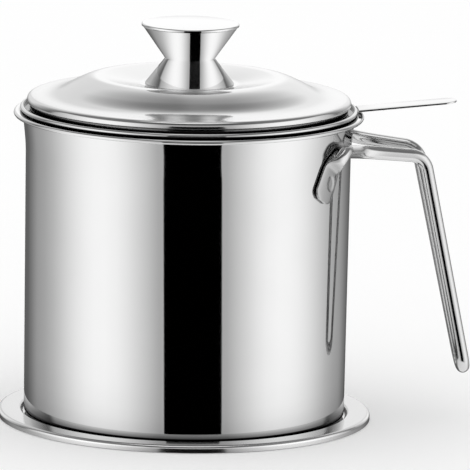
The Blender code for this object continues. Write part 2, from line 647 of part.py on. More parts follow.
def make_pot_handle(parts):
    path = handle_half_path()
    marks = [0.0]
    for before, after in zip(path, path[1:]):
        marks.append(marks[-1] + (after - before).length)
    tangents = []
    for i in range(len(path)):
        ahead = path[min(i + 1, len(path) - 1)]
        behind = path[max(i - 1, 0)]
        tangents.append((ahead - behind).normalized())
    tangents[-1] = Vector((0.0, 1.0, 0.0))
    outward = Vector((path[0].x, path[0].y, 0.0)).normalized()
    loft = bmesh.new()
    rings = []
    for point, tangent, mark in zip(path, tangents, marks):
        outward = (outward - tangent * outward.dot(tangent)).normalized()
        across = tangent.cross(outward)
        half_width, half_thickness, bulge, flat = shape_at(mark)
        reach = math.hypot(point.x, point.y)
        ring = []
        for k in range(ROD_SIDES):
            angle = 2 * math.pi * (k + 0.5) / ROD_SIDES
            cosine = math.copysign(abs(math.cos(angle)) ** (2 / bulge), math.cos(angle))
            sine = math.copysign(abs(math.sin(angle)) ** (2 / bulge), math.sin(angle))
            corner = point + across * (half_width * cosine) + outward * (half_thickness * sine)
            wanted = reach + half_thickness * sine
            bent = 1 + (wanted / math.hypot(corner.x, corner.y) - 1) * flat
            ring.append(loft.verts.new((corner.x * bent, corner.y * bent, corner.z)))
        rings.append(ring)
    for low, high in zip(rings, rings[1:]):
        for k in range(ROD_SIDES):
            following = (k + 1) % ROD_SIDES
            loft.faces.new((low[k], low[following], high[following], high[k]))
    loft.faces.new(rings[0])
    for vert in rings[-1]:
        vert.co.y = 0.0
    bmesh.ops.recalc_face_normals(loft, faces=loft.faces)
    mesh = bpy.data.meshes.new("pot_handle")
    loft.to_mesh(mesh)
    loft.free()
    handle = add_object("pot_handle", mesh, parts, POLISHED)
    mirror = handle.modifiers.new("other_half", "MIRROR")
    mirror.use_axis = (False, True, False)
    mirror.merge_threshold = 0.00001
    return handle


def lifting_body(name, children, collection):
    """An empty on the vertical lift axis that carries the pieces which lift together."""
    empty = bpy.data.objects.new(name, None)
    collection.objects.link(empty)
    for child in children:
        child.parent = empty
    return empty


def main():
    clear_scene()
    parts = new_collection("bacon_grease_container")
    cutters = new_collection("cutters", hidden=True)
    make_tray(parts)
    pot = lifting_body("pot", [make_pot_body(parts), make_pot_handle(parts)], parts)
    cup = make_strainer_cup(parts)
    screen = make_strainer_screen(parts, cutters)
    ring = make_screen_ring(parts)
    strip = make_strainer_handle(parts, cutters)
    strainer = lifting_body("strainer", [cup, screen, ring, strip], parts)
    lid = lifting_body("lid", [make_lid_shell(parts)] + make_knob(parts) + make_knob_fixings(parts), parts)
    strainer.parent = pot
    lid.parent = strainer


main()
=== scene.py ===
"""Looks of the bacon grease container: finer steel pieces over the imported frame, and its studio.

Metres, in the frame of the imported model: +Z up, the pot's handle along +X, the tray's underside at z = 0.
"""

import math
from collections import namedtuple

import bmesh
import bpy
from mathutils import Matrix, Vector


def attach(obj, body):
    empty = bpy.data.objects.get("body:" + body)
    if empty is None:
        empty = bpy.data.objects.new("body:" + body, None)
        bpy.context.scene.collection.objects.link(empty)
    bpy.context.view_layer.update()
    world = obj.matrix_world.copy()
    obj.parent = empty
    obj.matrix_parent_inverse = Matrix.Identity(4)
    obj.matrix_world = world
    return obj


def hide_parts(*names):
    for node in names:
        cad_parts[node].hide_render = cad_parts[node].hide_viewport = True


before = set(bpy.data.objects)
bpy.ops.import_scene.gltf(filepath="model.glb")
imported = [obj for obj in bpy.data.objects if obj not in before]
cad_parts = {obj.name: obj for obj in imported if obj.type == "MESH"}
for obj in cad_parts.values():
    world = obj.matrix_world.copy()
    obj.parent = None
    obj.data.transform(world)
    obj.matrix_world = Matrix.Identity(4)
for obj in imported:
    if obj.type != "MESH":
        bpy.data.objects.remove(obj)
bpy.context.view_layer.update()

# How finely the scene's pieces are turned and lofted, with angles in degrees
TURN_STEPS = 288
KNOB_STEPS = 160
ARC_STEP = 7.5
CURVE_STEPS = 16
CURVE_SHARES = [i / CURVE_STEPS for i in range(1, CURVE_STEPS + 1)]
POT_WALL_STEPS = 12
LID_SEAT_STEPS = 4
STRIP_ROOT_STEPS = 6
STRIP_EDGE_STEPS = 3
SHARP_ANGLE = 40
ROD_SIDES = 56
ROD_RING_ANGLE = 4
ROD_RING_STEP = 0.0004
PAD_STEPS = 40
NECK_STEPS = 4
# Points of a profile that are closer to each other than this count as one
PROFILE_GAP = 0.00001
# Points that are closer to the axis or to the mirror plane than this lie on it
MERGE_GAP = 0.000001

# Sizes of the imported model, some of them refined by tenths of a millimetre, and angles in degrees
SEAT_GAP = 0.0003

TRAY_SHEET = 0.0008
TRAY_WELL_RADIUS = 0.0630
TRAY_RADIUS = 0.0720
TRAY_HEIGHT = 0.0030
TRAY_FILLET = 0.0010
TRAY_EDGE_RADIUS = 0.0014

POT_RADIUS = 0.0626
POT_SHEET = 0.0006
POT_TAPER = 0.0006
POT_BASE_Z = 0.0011
POT_FOOT_RADIUS = 0.0020
POT_RIM_Z = 0.1193
POT_RIM_RADIUS = 0.0674
POT_BEAD_RADIUS = 0.00085
POT_CURL_END = -160
POT_NECK_Z = 0.1030
POT_NECK_START = (0.00043, 0.00538)
POT_NECK_FLARE = 0.0013
POT_NECK_FILLET = 0.0009

CUP_SHEET = 0.0005
CUP_RIM_Z = 0.1214
CUP_LEDGE_Z = 0.1201
CUP_FLOOR_Z = 0.0814
CUP_RIM_RADIUS = 0.0650
CUP_MOUTH_RADIUS = 0.0632
CUP_WALL_RADIUS = 0.0594
CUP_FLOOR_RADIUS = 0.0580
CUP_OPENING_RADIUS = 0.0500
CUP_BEAD_RADIUS = 0.0009
CUP_FILLET = 0.0007
CUP_CORNER = 0.0030

STRIP_WIDTH = 0.0115
STRIP_THICKNESS = 0.0008
STRIP_REACH = 0.1035
STRIP_RISE = 0.0036
STRIP_TIP = 0.0050
STRIP_EDGE = 0.0002
STRIP_EDGE_PROFILE = 0.5

LID_SHEET = 0.0005
LID_HOLE = 0.0023
LID_SKIRT_RADIUS = 0.0613
LID_SKIRT_Z = 0.1204
LID_EDGE_Z = 0.1226
LID_RADIUS = 0.0624
LID_EDGE_HEIGHT = 0.0006
LID_ROLL = 0.0005
# Radius, height over the edge and slope where the lid's curve changes, from the seat to the shoulder
LID_KNOTS = (
    (0.0176, 0.0078, 0.0),
    (0.0196, 0.0080, 0.187),
    (0.0325, 0.0103, 0.160),
    (0.0352, 0.0105, 0.0),
    (0.0450, 0.0073, -0.50),
    (0.0510, 0.0043, -0.30),
    (0.0606, 0.0029, -0.12),
)

KNOB_BORE = 0.0040
KNOB_SHEET = 0.0006
KNOB_FOOT_Z = 0.13043
KNOB_FOOT_RADIUS = 0.0171
KNOB_FOOT_ROUND = 0.0002
KNOB_FOOT_ARC_START = 40
KNOB_WAIST_Z = 0.1401
KNOB_WAIST_RADIUS = 0.0097
KNOB_HEAD_TOP_Z = 0.1526
KNOB_CAP_Z = 0.1529
KNOB_CAP_RADIUS = 0.01876
KNOB_CAP_THICKNESS = 0.0010
KNOB_CAP_CROWN = 0.0007
KNOB_CAP_BEVEL = 0.0005
KNOB_CAP_ARC_START = 80

ROD_RADIUS = 0.00257
ROD_STANDOFF = 0.0033
# Where the centre line of the near half turns after the wrap, and the radii of its bends
HANDLE_CORNERS = ((0.0638, -0.0177, 0.1070), (0.0903, -0.0108, 0.1040), (0.1082, -0.0057, 0.0198))
HANDLE_BENDS = (0.0060, 0.0075, 0.00513)
HANDLE_NECK_BEND = 0.0050
# Distance round the wall from the handle's plane, and height
HANDLE_WRAP = (0.0225, 0.1077)
HANDLE_NECK = (0.0345, 0.1101)
PAD_TIP = (0.0451, 0.0918)
WELD_SPOT = (0.0404, 0.0980)
PAD_THICKNESS = 0.0014
PAD_WIDTH = 0.0114
PAD_LENGTH = 0.0160
# Shares of the pad's length between which the rod rises from the wall
PAD_RISE_SHARES = (0.76, 1.16)
# Share of the pad's length, share of its width, and share of the way from the rod's thickness to the pad's
PAD_SHAPE_SHARES = (
    (0.00, 0.52, 1.00),
    (0.05, 0.78, 1.00),
    (0.14, 0.97, 1.00),
    (0.30, 1.00, 1.00),
    (0.60, 1.00, 1.00),
    (0.78, 0.96, 1.00),
    (0.90, 0.85, 0.90),
    (1.00, 0.68, 0.56),
    (1.10, 0.53, 0.20),
    (1.20, 0.47, 0.03),
)
# How much flatter than an ellipse the pad is outside and towards the wall
PAD_BULGES = (0.6, 1.8)
# The weld's dent: its reach round the wall and in height, its depth, and the share of its reach
# that its slope takes
WELD_REACH = (0.0024, 0.0033)
WELD_DEPTH = 0.00035
WELD_EDGE_SHARE = 0.30
# The dent is pressed in where the pad is flatter than this, and outside this share of its half-thickness
DENT_FLATNESS = 0.5
DENT_OUTWARD = 0.3
# Stretches along the rod on which its centre line is evened round the wall, and how many times
EVEN_RUNS = ((0.018, 0.052, 36), (0.025, 0.057, 320))


def soft_step(value):
    """0 below 0 and 1 above 1, with a soft step between them."""
    share = max(0.0, min(1.0, value))
    return share * share * (3 - 2 * share)


def cubic(start, end, span, start_slope, end_slope, share):
    """Value at a share of a span, on a cubic curve with the given values and slopes at its ends."""
    rest = 1 - share
    value = start * rest**2 * (1 + 2 * share) + end * share**2 * (3 - 2 * share)
    return value + span * share * rest * (start_slope * rest - end_slope * share)


def arc(centre, radius, start, end):
    """Points of an arc, from one angle to another in degrees."""
    steps = max(2, math.ceil(abs(end - start) / ARC_STEP))
    points = []
    for i in range(steps + 1):
        angle = math.radians(start + (end - start) * i / steps)
        points.append((centre[0] + radius * math.cos(angle), centre[1] + radius * math.sin(angle)))
    return points


def line(start, end, steps):
    """Points after the start of a straight run."""
    points = []
    for i in range(1, steps + 1):
        points.append(tuple(low + (high - low) * i / steps for low, high in zip(start, end)))
    return points


def smooth_run(start, end, start_slope, end_slope):
    """Points after the start of a cubic curve in the (r, z) plane with the given slopes at its ends."""
    span = end[0] - start[0]
    points = []
    for share in CURVE_SHARES:
        z = cubic(start[1], end[1], span, start_slope, end_slope, share)
        points.append((start[0] + span * share, z))
    return points


def sheet_outline(profile, sheet):
    """A closed outline: the profile, and its offset to the right of its course by the sheet's thickness."""
    kept = [profile[0]]
    for point in profile[1:]:
        if math.dist(point, kept[-1]) > PROFILE_GAP:
            kept.append(point)
    normals = []
    for low, high in zip(kept, kept[1:]):
        length = math.dist(low, high)
        normals.append(((high[1] - low[1]) / length, (low[0] - high[0]) / length))
    back = []
    for i, point in enumerate(kept):
        before = normals[max(i - 1, 0)]
        after = normals[min(i, len(normals) - 1)]
        mid = (before[0] + after[0], before[1] + after[1])
        scale = 2 * sheet / (mid[0] ** 2 + mid[1] ** 2)
        back.append((point[0] + mid[0] * scale, point[1] + mid[1] * scale))
    return kept + back[::-1]


def add_object(name, mesh_data):
    """A new object of the scene from the mesh data, which is freed."""
    mesh = bpy.data.meshes.new(name)
    mesh_data.to_mesh(mesh)
    mesh_data.free()
    obj = bpy.data.objects.new(name, mesh)
    bpy.context.scene.collection.objects.link(obj)
    return obj


def add_piece(name, mesh_data, body, *nodes):
    """A steel piece that rides on a body and replaces solids of the frame."""
    bmesh.ops.recalc_face_normals(mesh_data, faces=mesh_data.faces)
    obj = add_object(name, mesh_data)
    obj.data.shade_smooth()
    obj.data.set_sharp_from_angle(angle=math.radians(SHARP_ANGLE))
    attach(obj, body)
    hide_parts(*nodes)
    return obj


def turned(name, outline, steps, body, *nodes):
    """A closed outline of (r, z) points turned about Z into a closed mesh."""
    mesh_data = bmesh.new()
    rings = []
    for r, z in outline:
        if r < MERGE_GAP:
            rings.append([mesh_data.verts.new((0.0, 0.0, z))])
            continue
        ring = []
        for k in range(steps):
            angle = 2 * math.pi * k / steps
            ring.append(mesh_data.verts.new((r * math.cos(angle), r * math.sin(angle), z)))
        rings.append(ring)
    for low, high in zip(rings, rings[1:] + rings[:1]):
        if len(low) == 1 and len(high) == 1:
            continue
        for k in range(steps):
            following = (k + 1) % steps
            if len(low) == 1:
                corners = (low[0], high[following], high[k])
            elif len(high) == 1:
                corners = (low[k], low[following], high[0])
            else:
                corners = (low[k], low[following], high[following], high[k])
            mesh_data.faces.new(corners)
    return add_piece(name, mesh_data, body, *nodes)


def make_tray():
    floor_z = TRAY_SHEET
    profile = [(0.0, floor_z)]
    profile += arc((TRAY_WELL_RADIUS - TRAY_FILLET, floor_z + TRAY_FILLET), TRAY_FILLET, -90, 0)
    profile += arc((TRAY_WELL_RADIUS + TRAY_FILLET, TRAY_HEIGHT - TRAY_FILLET), TRAY_FILLET, 180, 90)
    edge = (TRAY_RADIUS - TRAY_EDGE_RADIUS, TRAY_HEIGHT - TRAY_EDGE_RADIUS)
    profile += arc(edge, TRAY_EDGE_RADIUS, 90, 0)
    profile.append((TRAY_RADIUS, SEAT_GAP))
    return turned("tray_shell", sheet_outline(profile, TRAY_SHEET), TURN_STEPS, "tray", "tray")


def pot_wall():
    """Points of the wall's inner side, from the foot's corner up to the rim's fillet."""
    inner = POT_RADIUS - POT_SHEET
    return [
        (inner - POT_TAPER, POT_BASE_Z + POT_FOOT_RADIUS),
        (inner, POT_NECK_Z),
        (inner + POT_NECK_START[0], POT_NECK_Z + POT_NECK_START[1]),
        (inner + POT_NECK_FLARE, POT_RIM_Z - POT_NECK_FILLET),
    ]


def wall_outer_radius(z):
    """Outer radius of the pot's wall at a height."""
    knots = pot_wall()
    for low, high in zip(knots, knots[1:]):
        if z <= high[1]:
            break
    return low[0] + (high[0] - low[0]) * (z - low[1]) / (high[1] - low[1]) + POT_SHEET


def make_pot_body():
    floor_z = POT_BASE_Z + POT_SHEET
    corner = POT_FOOT_RADIUS - POT_SHEET
    foot, neck, start, top = pot_wall()
    profile = [(0.0, floor_z)]
    profile += arc((foot[0] - corner, floor_z + corner), corner, -90, 0)
    taper = (neck[0] - foot[0]) / (neck[1] - foot[1])
    profile += line(profile[-1], neck, POT_WALL_STEPS)
    lean = (top[0] - start[0]) / (top[1] - start[1])
    rise = top[1] - neck[1]
    for share in CURVE_SHARES:
        profile.append((cubic(neck[0], top[0], rise, taper, lean, share), neck[1] + rise * share))
    profile += arc((top[0] + POT_NECK_FILLET, POT_RIM_Z - POT_NECK_FILLET), POT_NECK_FILLET, 180, 90)
    bead = (POT_RIM_RADIUS - POT_BEAD_RADIUS, POT_RIM_Z - POT_BEAD_RADIUS)
    profile += arc(bead, POT_BEAD_RADIUS, 90, POT_CURL_END)
    return turned("pot_shell", sheet_outline(profile, POT_SHEET), TURN_STEPS, "pot", "pot_body")


def make_strainer_cup():
    profile = [(CUP_OPENING_RADIUS, CUP_FLOOR_Z)]
    profile += arc((CUP_FLOOR_RADIUS - CUP_CORNER, CUP_FLOOR_Z + CUP_CORNER), CUP_CORNER, -90, 0)
    profile += arc((CUP_WALL_RADIUS + CUP_FILLET, CUP_LEDGE_Z - CUP_FILLET), CUP_FILLET, 180, 90)
    profile.append((CUP_MOUTH_RADIUS, CUP_LEDGE_Z))
    bead = (CUP_RIM_RADIUS - CUP_BEAD_RADIUS, CUP_RIM_Z - CUP_BEAD_RADIUS)
    profile += arc(bead, CUP_BEAD_RADIUS, 180, -90)
    outline = sheet_outline(profile, CUP_SHEET)
    return turned("strainer_shell", outline, TURN_STEPS, "strainer", "strainer_cup")


def make_strainer_handle():
    """The strip with softened edges, its root hollowed to the cup's rim."""
    half = STRIP_WIDTH / 2
    rim = CUP_RIM_RADIUS + SEAT_GAP
    span = math.degrees(math.asin(half / rim))
    outline = []
    for i in range(2 * STRIP_ROOT_STEPS + 1):
        angle = math.radians(span * (1 - i / STRIP_ROOT_STEPS))
        outline.append((rim * math.cos(angle), rim * math.sin(angle)))
    outline += arc((STRIP_REACH - STRIP_TIP, -half + STRIP_TIP), STRIP_TIP, -90, 0)
    outline += arc((STRIP_REACH - STRIP_TIP, half - STRIP_TIP), STRIP_TIP, 0, 90)
    strip = bmesh.new()
    face = strip.faces.new([strip.verts.new((x, y, 0.0)) for x, y in outline])
    grown = bmesh.ops.extrude_face_region(strip, geom=[face])
    lifted = [item for item in grown["geom"] if isinstance(item, bmesh.types.BMVert)]
    bmesh.ops.translate(strip, verts=lifted, vec=(0.0, 0.0, STRIP_THICKNESS))
    bmesh.ops.recalc_face_normals(strip, faces=strip.faces)
    rims = [e for e in strip.edges if abs(e.verts[0].co.z - e.verts[1].co.z) < STRIP_THICKNESS / 2]
    bmesh.ops.bevel(
        strip,
        geom=rims,
        offset=STRIP_EDGE,
        segments=STRIP_EDGE_STEPS,
        affect="EDGES",
        profile=STRIP_EDGE_PROFILE,
    )
    root = CUP_RIM_RADIUS * math.cos(math.asin(half / CUP_RIM_RADIUS))
    slope = STRIP_RISE / (STRIP_REACH - root)
    base_z = CUP_RIM_Z - CUP_BEAD_RADIUS - STRIP_THICKNESS / 2
    for vert in strip.verts:
        vert.co.z += base_z + slope * (vert.co.x - root)
    return add_piece("strainer_strip", strip, "strainer", "strainer_handle")


def make_lid():
    knots = [((r, LID_EDGE_Z + z), slope) for r, z, slope in LID_KNOTS]
    profile = [(LID_HOLE, knots[0][0][1])]
    profile += line(profile[0], knots[0][0], LID_SEAT_STEPS)
    for (start, start_slope), (end, end_slope) in zip(knots, knots[1:]):
        profile += smooth_run(start, end, start_slope, end_slope)
    shoulder, slope = knots[-1]
    corner = (LID_RADIUS, shoulder[1] + slope * (LID_RADIUS - shoulder[0]))
    edge = (LID_RADIUS, LID_EDGE_Z + LID_EDGE_HEIGHT)
    bend = (shoulder, corner, edge)
    for share in CURVE_SHARES:
        weights = ((1 - share) ** 2, 2 * share * (1 - share), share**2)
        profile.append(tuple(sum(w * spot[j] for w, spot in zip(weights, bend)) for j in (0, 1)))
    roll = (LID_RADIUS - LID_ROLL, LID_EDGE_Z + LID_ROLL)
    profile += arc(roll, LID_ROLL, 0, -90)
    profile.append((LID_SKIRT_RADIUS, LID_EDGE_Z))
    profile.append((LID_SKIRT_RADIUS, LID_SKIRT_Z))
    return turned("lid_cover", sheet_outline(profile, LID_SHEET), TURN_STEPS, "lid", "lid_shell")


def make_knob():
    foot = (KNOB_FOOT_RADIUS - KNOB_FOOT_ROUND, KNOB_FOOT_Z + KNOB_FOOT_ROUND)
    profile = [(KNOB_BORE, KNOB_WAIST_Z), (KNOB_WAIST_RADIUS, KNOB_WAIST_Z)]
    profile += arc(foot, KNOB_FOOT_ROUND, KNOB_FOOT_ARC_START, -90)
    base = turned("knob_foot", sheet_outline(profile, KNOB_SHEET), KNOB_STEPS, "lid", "knob_base")

    low_z = KNOB_WAIST_Z + SEAT_GAP
    rim = KNOB_CAP_RADIUS - KNOB_CAP_BEVEL
    profile = [(KNOB_BORE, low_z), (KNOB_WAIST_RADIUS, low_z), (rim, KNOB_HEAD_TOP_Z)]
    outline = sheet_outline(profile[::-1], KNOB_SHEET)
    outline[-1] = (outline[-1][0], KNOB_HEAD_TOP_Z)
    head = turned("knob_flare", outline, KNOB_STEPS, "lid", "knob_head")

    top_z = KNOB_CAP_Z + KNOB_CAP_THICKNESS
    profile = [(0.0, top_z + KNOB_CAP_CROWN)]
    for share in CURVE_SHARES:
        profile.append((rim * share, top_z + KNOB_CAP_CROWN * (1 - share**2)))
    profile += arc((rim, top_z - KNOB_CAP_BEVEL), KNOB_CAP_BEVEL, KNOB_CAP_ARC_START, 0)
    profile += [(KNOB_CAP_RADIUS, KNOB_CAP_Z), (0.0, KNOB_CAP_Z)]
    cap = turned("knob_disc", profile, KNOB_STEPS, "lid", "knob_cap")
    return base, head, cap


def rounded_path(corners, bends, step):
    """Points along straight runs joined by arcs of the given bend radii, one for each inner corner."""
    points = [corners[0]]
    for i in range(1, len(corners) - 1):
        before = (corners[i - 1] - corners[i]).normalized()
        after = (corners[i + 1] - corners[i]).normalized()
        opening = before.angle(after)
        reach = bends[i - 1] / math.tan(opening / 2)
        centre = corners[i] + (before + after).normalized() * (bends[i - 1] / math.sin(opening / 2))
        spoke = corners[i] + before * reach - centre
        turn = math.pi - opening
        steps = max(2, math.ceil(math.degrees(turn) / step))
        axis = spoke.cross(corners[i] + after * reach - centre).normalized()
        for k in range(steps + 1):
            cosine = math.cos(turn * k / steps)
            sine = math.sin(turn * k / steps)
            points.append(centre + spoke * cosine + axis.cross(spoke) * sine)
    points.append(corners[-1])
    return points


def wall_point(along, z, standoff):
    """A point at a distance round the wall from the handle's plane, on the near side, clear of the wall."""
    radius = wall_outer_radius(z) + standoff
    angle = -along / POT_RADIUS
    return Vector((radius * math.cos(angle), radius * math.sin(angle), z))


def eased_shape(share):
    """Share of the pad's width and share of the way to its thickness, eased between the rows."""
    rows = PAD_SHAPE_SHARES
    if share >= rows[-1][0]:
        return None
    at = max(i for i in range(len(rows) - 1) if share >= rows[i][0])
    slopes = []
    for i in (at, at + 1):
        low, high = rows[max(i - 1, 0)], rows[min(i + 1, len(rows) - 1)]
        slopes.append([(high[j] - low[j]) / (high[0] - low[0]) for j in (1, 2)])
    low, high = rows[at], rows[at + 1]
    span = high[0] - low[0]
    part = (share - low[0]) / span
    width, flat = (
        cubic(low[j + 1], high[j + 1], span, slopes[0][j], slopes[1][j], part) for j in (0, 1)
    )
    return width, max(0.0, min(1.0, flat))


def rod_shape(distance):
    """Half-width, half-thickness and flatness at a distance from the pad's tip."""
    found = eased_shape(distance / PAD_LENGTH)
    if not found:
        return ROD_RADIUS, ROD_RADIUS, 0.0
    width, flat = found
    half_thickness = ROD_RADIUS + (PAD_THICKNESS / 2 - ROD_RADIUS) * flat
    return max(ROD_RADIUS * (1 - flat), PAD_WIDTH / 2 * width), half_thickness, flat


def handle_half_path():
    """Centre line of the near half: pad, neck, wrap, arm, knuckle, leg, and half of the foot's bend."""
    low = SEAT_GAP + PAD_THICKNESS / 2
    tip = Vector((*PAD_TIP, 0.0))
    neck = Vector((*HANDLE_NECK, 0.0))
    wrap = Vector((*HANDLE_WRAP, 0.0))
    turn = rounded_path([tip, neck, wrap], [HANDLE_NECK_BEND], ROD_RING_ANGLE)
    flat = [tip + (turn[1] - tip) * i / PAD_STEPS for i in range(PAD_STEPS)]
    flat += turn[1:-1]
    flat += [turn[-2] + (wrap - turn[-2]) * i / NECK_STEPS for i in range(1, NECK_STEPS)]
    points = []
    rise_start, rise_end = PAD_RISE_SHARES
    for spot in flat:
        share = (spot - tip).length / PAD_LENGTH
        lift = soft_step((share - rise_start) / (rise_end - rise_start))
        points.append(wall_point(spot.x, spot.y, low + (ROD_STANDOFF - low) * lift))
    corners = [wall_point(wrap.x, wrap.y, ROD_STANDOFF)] + [Vector(c) for c in HANDLE_CORNERS]
    corners.append(Vector((HANDLE_CORNERS[-1][0], 0.0, HANDLE_CORNERS[-1][2])))
    return points + rounded_path(corners, HANDLE_BENDS, ROD_RING_ANGLE)


def path_marks(points):
    """Distance of each point from the first one, along the path."""
    marks = [0.0]
    for before, after in zip(points, points[1:]):
        marks.append(marks[-1] + (after - before).length)
    return marks


def evened_path(points):
    """The path in equal steps, with its bends round the wall eased into each other."""
    marks = path_marks(points)
    count = round(marks[-1] / ROD_RING_STEP)
    path = []
    at = 0
    for i in range(count + 1):
        mark = marks[-1] * i / count
        while at < len(marks) - 2 and marks[at + 1] < mark:
            at += 1
        share = (mark - marks[at]) / (marks[at + 1] - marks[at])
        path.append(points[at].lerp(points[at + 1], share))
    for start, end, rounds in EVEN_RUNS:
        first = round(start / ROD_RING_STEP)
        last = round(end / ROD_RING_STEP)
        for _ in range(rounds):
            path[first:last] = [(path[i - 1] + path[i + 1]) / 4 + path[i] / 2 for i in range(first, last)]
    return path


def weld_dent(point):
    """How far the weld's dent pushes a point of the pad's outer face in."""
    along = -math.atan2(point.y, point.x) * POT_RADIUS
    away = math.hypot((along - WELD_SPOT[0]) / WELD_REACH[0], (point.z - WELD_SPOT[1]) / WELD_REACH[1])
    return WELD_DEPTH * soft_step((1 - away) / WELD_EDGE_SHARE)


def make_handle():
    """The near half of the rod, lofted from ring to ring, and its mirror image."""
    path = evened_path(handle_half_path())
    last = len(path) - 1
    tangents = [(path[min(i + 1, last)] - path[max(i - 1, 0)]).normalized() for i in range(last)]
    tangents.append(Vector((0.0, 1.0, 0.0)))
    outward = Vector((path[0].x, path[0].y, 0.0)).normalized()
    loft = bmesh.new()
    rings = []
    for point, tangent, mark in zip(path, tangents, path_marks(path)):
        outward = (outward - tangent * outward.dot(tangent)).normalized()
        across = tangent.cross(outward)
        half_width, half_thickness, flat = rod_shape(mark)
        reach = math.hypot(point.x, point.y)
        ring = []
        for k in range(ROD_SIDES):
            angle = 2 * math.pi * (k + 0.5) / ROD_SIDES
            bulge = 2.0 + (PAD_BULGES[0] if math.sin(angle) > 0 else PAD_BULGES[1]) * flat
            cosine = math.copysign(abs(math.cos(angle)) ** (2 / bulge), math.cos(angle))
            sine = math.copysign(abs(math.sin(angle)) ** (2 / bulge), math.sin(angle))
            corner = point + across * (half_width * cosine) + outward * (half_thickness * sine)
            wanted = reach + half_thickness * sine
            bent = 1 + (wanted / math.hypot(corner.x, corner.y) - 1) * flat
            corner = Vector((corner.x * bent, corner.y * bent, corner.z))
            if flat > DENT_FLATNESS and sine > DENT_OUTWARD:
                corner -= outward * weld_dent(corner)
            ring.append(loft.verts.new(corner))
        rings.append(ring)
    for low, high in zip(rings, rings[1:]):
        for k in range(ROD_SIDES):
            following = (k + 1) % ROD_SIDES
            loft.faces.new((low[k], low[following], high[following], high[k]))
    loft.faces.new(rings[0])
    for vert in rings[-1]:
        vert.co.y = 0.0
    bmesh.ops.recalc_face_normals(loft, faces=loft.faces)
    half = loft.verts[:] + loft.edges[:] + loft.faces[:]
    bmesh.ops.mirror(loft, geom=half, axis="Y", merge_dist=MERGE_GAP)
    return add_piece("handle_rod", loft, "pot", "pot_handle")


def link(tree, *pairs):
    for source, target in pairs:
        tree.links.new(source, target)


def wire(tree, socket, value):
    """Links the socket to another one, or sets it to a number or colour."""
    if isinstance(value, bpy.types.NodeSocket):
        tree.links.new(value, socket)
    else:
        socket.default_value = value


def math_node(tree, operation, first, second=None):
    """The result of one sum on numbers and sockets."""
    node = tree.nodes.new("ShaderNodeMath")
    node.operation = operation
    wire(tree, node.inputs[0], first)
    if second is not None:
        wire(tree, node.inputs[1], second)
    return node.outputs[0]


def eased(tree, value, low, high):
    """0 below the low value, 1 above the high one, with a soft step between them."""
    node = tree.nodes.new("ShaderNodeMapRange")
    node.interpolation_type = "SMOOTHSTEP"
    node.inputs["From Min"].default_value = low
    node.inputs["From Max"].default_value = high
    tree.links.new(value, node.inputs["Value"])
    return node.outputs["Result"]


def fading(tree, value, low, high):
    """1 below the low value, 0 above the high one, with a soft step between them."""
    return math_node(tree, "SUBTRACT", 1.0, eased(tree, value, low, high))


def mixed(tree, share, first, second, blend_type="MIX"):
    """The first colour, with a share of the second mixed in, or multiplied on it."""
    node = tree.nodes.new("ShaderNodeMix")
    node.data_type = "RGBA"
    node.blend_type = blend_type
    for name, value in (("Factor", share), ("A", first), ("B", second)):
        wire(tree, node.inputs[name], value)
    return node.outputs["Result"]


def grey(level):
    return (level, level, level, 1.0)


def grey_ramp(tree, value, levels, full):
    """Grey level against a value from 0 to the full one, from rows of a value and its level."""
    ramp = tree.nodes.new("ShaderNodeValToRGB")
    points = ramp.color_ramp.elements
    while len(points) < len(levels):
        points.new(1.0)
    for point, (position, level) in zip(points, levels):
        point.position = position / full
        point.color = grey(level)
    tree.links.new(math_node(tree, "DIVIDE", value, full), ramp.inputs["Fac"])
    return ramp.outputs["Color"]


def noise(tree, scale, detail):
    place = tree.nodes.new("ShaderNodeTexCoord")
    node = tree.nodes.new("ShaderNodeTexNoise")
    node.inputs["Scale"].default_value = scale
    node.inputs["Detail"].default_value = detail
    tree.links.new(place.outputs["Object"], node.inputs["Vector"])
    return node.outputs["Fac"]


def mirrored_look(tree):
    """1 where the surface is seen in a mirror."""
    return tree.nodes.new("ShaderNodeLightPath").outputs["Is Glossy Ray"]


def object_place(tree):
    """Distance from the axis and height of the shaded point."""
    place = tree.nodes.new("ShaderNodeTexCoord").outputs["Object"]
    axes = tree.nodes.new("ShaderNodeSeparateXYZ")
    level = tree.nodes.new("ShaderNodeVectorMath")
    level.operation = "MULTIPLY"
    level.inputs[1].default_value = (1.0, 1.0, 0.0)
    radius = tree.nodes.new("ShaderNodeVectorMath")
    radius.operation = "LENGTH"
    link(
        tree,
        (place, axes.inputs["Vector"]),
        (place, level.inputs[0]),
        (level.outputs["Vector"], radius.inputs[0]),
    )
    return radius.outputs["Value"], axes.outputs["Z"]


# Cloudiness of the steel: noise scale and detail, the noise between which it runs, and its depth
CLOUD_SCALE = 38.0
CLOUD_DETAIL = 3.0
CLOUD_RANGE = (0.35, 0.65)
CLOUD_DEPTH = 0.015
# The noise between which the roughness spreads, and the grain's detail and height
POLISH_RANGE = (0.3, 0.7)
GRAIN_DETAIL = 2.0
GRAIN_HEIGHT = 0.00002
# Painted shade in each crevice and gap: how much a polished surface still mirrors against how open it lies,
# within the reach of a crevice or a groove, and the distances from the axis and the heights between which
# the painted shade starts to count
OPENNESS_SAMPLES = 12
CREVICE_SHADE_REACH = 0.0018
GROOVE_SHADE_REACH = 0.0030
CREVICE_SHADE_SHARES = ((0.0, 0.0), (0.38, 0.04), (0.58, 0.35), (0.80, 1.0))
CREVICE_SHADE_START = (0.046, 0.052)
CREVICE_SHADE_FOOT = (0.108, 0.113)
